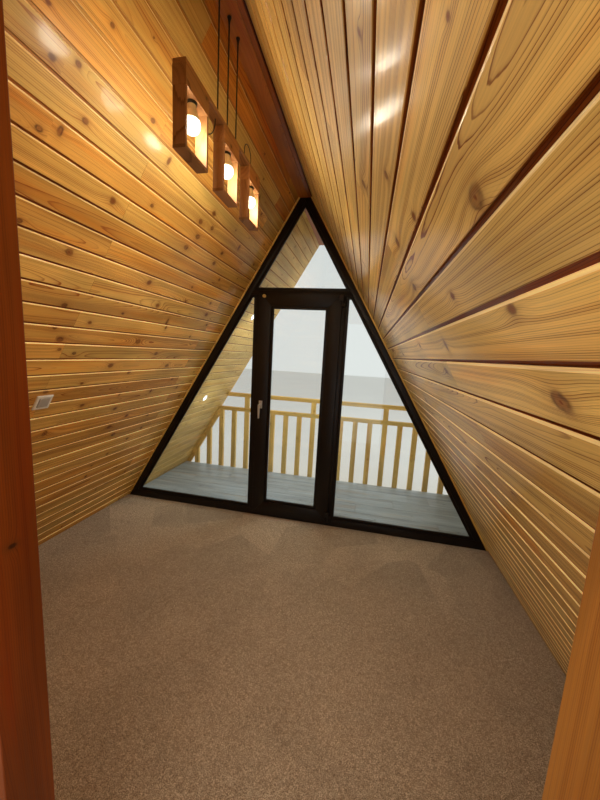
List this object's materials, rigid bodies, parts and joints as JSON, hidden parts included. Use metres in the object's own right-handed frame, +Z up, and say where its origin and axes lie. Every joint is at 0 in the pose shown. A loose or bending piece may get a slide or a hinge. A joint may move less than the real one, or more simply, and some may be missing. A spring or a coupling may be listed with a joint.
{
  "type": "a-frame cabin upper storey",
  "caption": "Upper storey of a timber A-frame cabin: pine-lined room between two steep roof slopes, glazed gable with an inward-opening door, covered balcony and railing.",
  "frame": {"origin": "underside of the floor joists, at the middle of the length and width", "axes": "+Z up, +Y out over the balcony, +X to the right when looking out over it"},
  "size_m": [4.3042, 4.312, 3.6433],
  "materials": {
    "framing": "planed softwood, bare",
    "lining": "varnished pine boards",
    "pale_pine": "clear-stained pine",
    "stained_pine": "dark varnish",
    "lamp_wood": "oiled",
    "carpet": "short pile",
    "tiles": "matte, wood-look",
    "roof_sheet": "satin dark brown",
    "frame_brown": "satin dark brown",
    "pane": "clear",
    "hinge": "satin dark brown",
    "handle_metal": "satin",
    "black_plastic": "matte",
    "white_plastic": "satin",
    "bulb": "frosted, warm light",
    "spot": "frosted, cool light"
  },
  "bodies": {
    "root": {"floor_joists": "framing", "floor_boards": "framing", "carpet": "carpet", "balcony_tiles": "tiles", "left_rafters": "framing", "right_rafters": "framing", "ridge_board": "framing", "left_roof_boarding": "framing", "right_roof_boarding": "framing", "left_roofing": "roof_sheet", "right_roofing": "roof_sheet", "ridge_cap": "roof_sheet", "left_lining": "lining", "right_lining": "lining", "ridge_ceiling_strip": "lining", "left_soffit": "pale_pine", "right_soffit": "pale_pine", "soffit_spots": "spot", "left_barge_board": "pale_pine", "right_barge_board": "pale_pine", "gable_sill": "frame_brown", "gable_left_raker": "frame_brown", "gable_right_raker": "frame_brown", "gable_transom": "frame_brown", "gable_posts": "frame_brown", "gable_beads": "frame_brown", "gable_trim": "lining", "top_light_glass": "pane", "side_light_glass": "pane", "hinge_brackets": "hinge", "railing_rails": "pale_pine", "railing_uprights": "pale_pine", "railing_end_bars": "pale_pine", "partition_left": "lining", "partition_header": "lining", "partition_right": "lining", "doorway_jambs": "stained_pine", "doorway_head": "stained_pine", "lamp_strip": "lamp_wood", "lamp_blocks": "lamp_wood", "lamp_frames": "lamp_wood", "lamp_holders": "black_plastic", "lamp_bulbs": "bulb", "lamp_cords": "black_plastic", "wall_plate": "white_plastic"},
    "door": {"door_stiles": "frame_brown", "door_rails": "frame_brown", "door_beads": "frame_brown", "door_glass": "pane", "door_hinges": "hinge", "door_peg": "lamp_wood", "handle_rose": "handle_metal"},
    "handle": {"door_handle": "handle_metal"}
  },
  "joints": [
    {"name": "door_hinge", "type": "hinge", "parent": "root", "child": "door", "pos_m": [0.38, 0.92, 1.327], "axis": [0, 0, 1], "range_deg": [0, 90]},
    {"name": "handle_turn", "type": "hinge", "parent": "door", "child": "handle", "pos_m": [-0.322, 0.916, 1.332], "axis": [0, -1, 0], "range_deg": [0, 90]}
  ]
}
